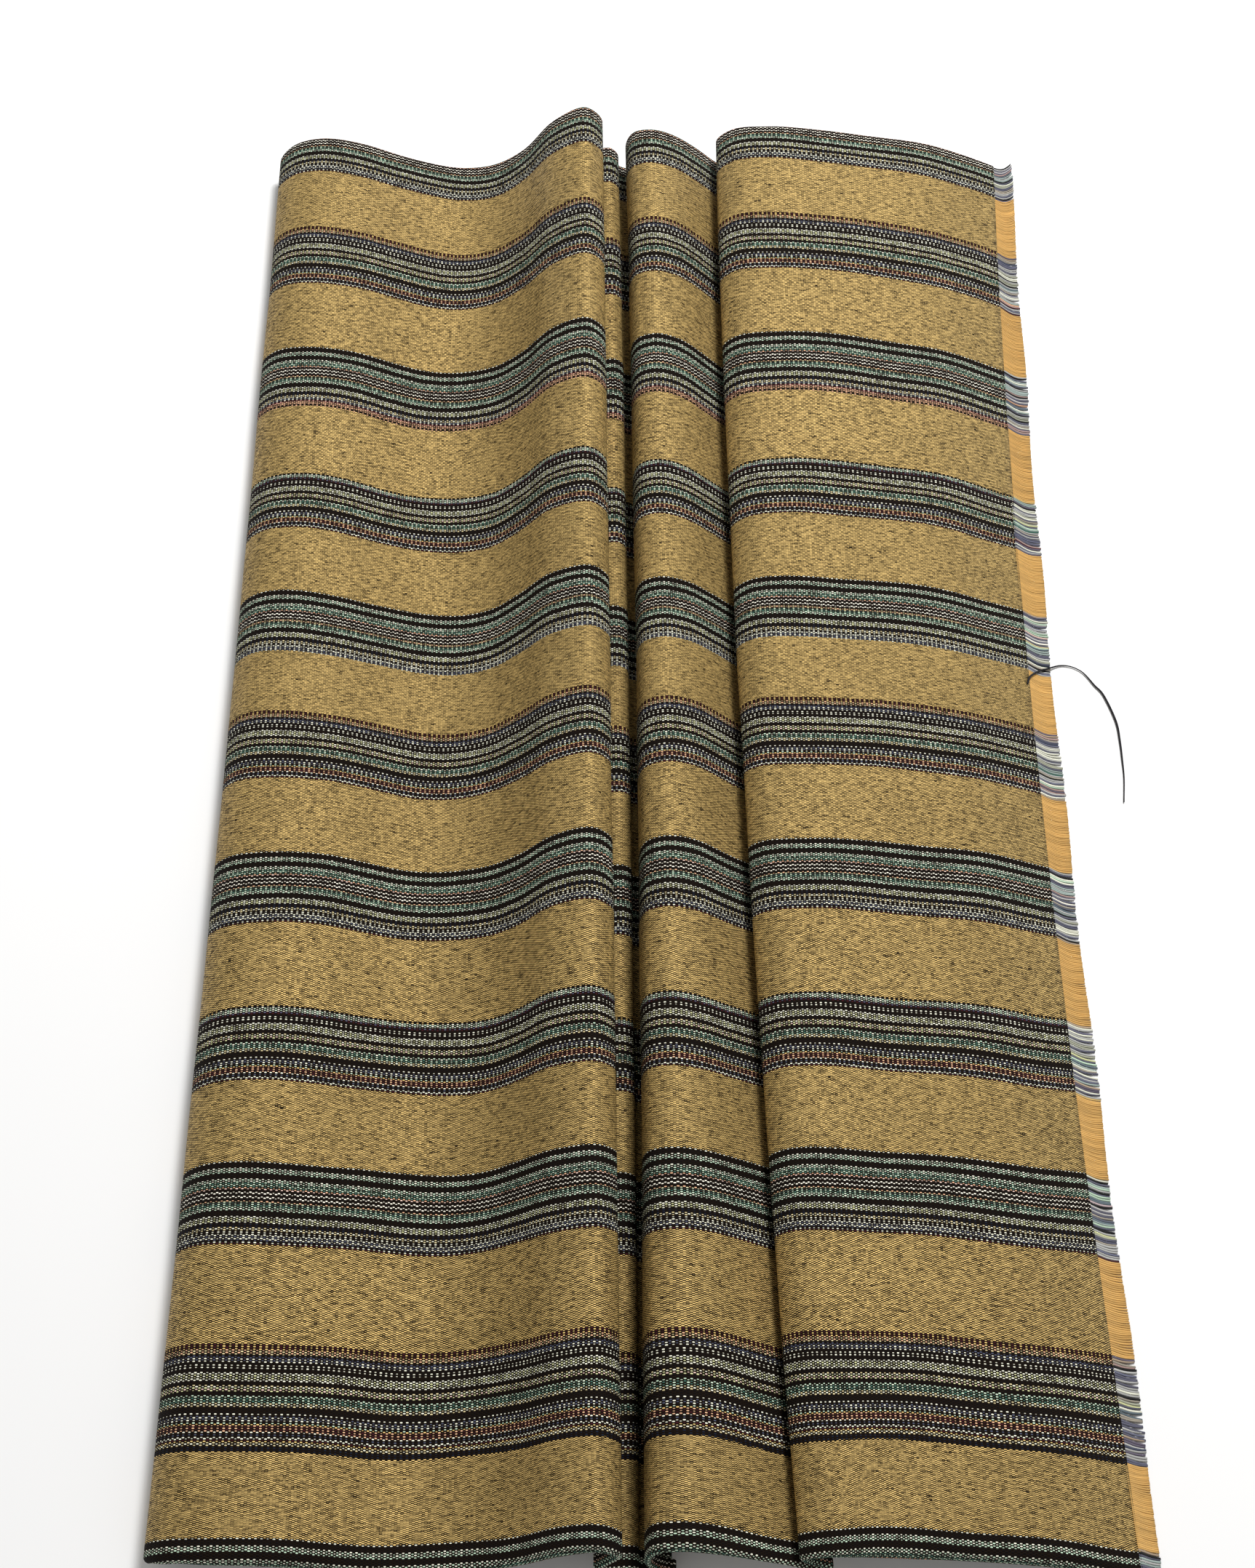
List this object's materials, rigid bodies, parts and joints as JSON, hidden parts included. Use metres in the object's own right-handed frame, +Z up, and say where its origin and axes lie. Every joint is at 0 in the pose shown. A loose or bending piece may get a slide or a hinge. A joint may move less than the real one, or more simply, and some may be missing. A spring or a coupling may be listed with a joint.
{
  "type": "folded woven cloth",
  "caption": "Gold striped aso oke cloth, handwoven, lying in loose pleats with its far and near edges turned under and a short fringe of cut warp ends along one side.",
  "frame": {"origin": "on the surface it lies on, under the middle of the whole outline", "axes": "+X along the stripes towards the fringe, +Y across the stripes along the pleats, +Z up"},
  "size_m": [0.3884, 0.694, 0.0461],
  "materials": {
    "woven_stripes": "ribbed warp-faced weave with a slight metallic sheen",
    "warp_ends": "loose matt yarn ends"
  },
  "bodies": {
    "root": {"cloth": "woven_stripes", "fringe": "warp_ends"}
  },
  "joints": []
}
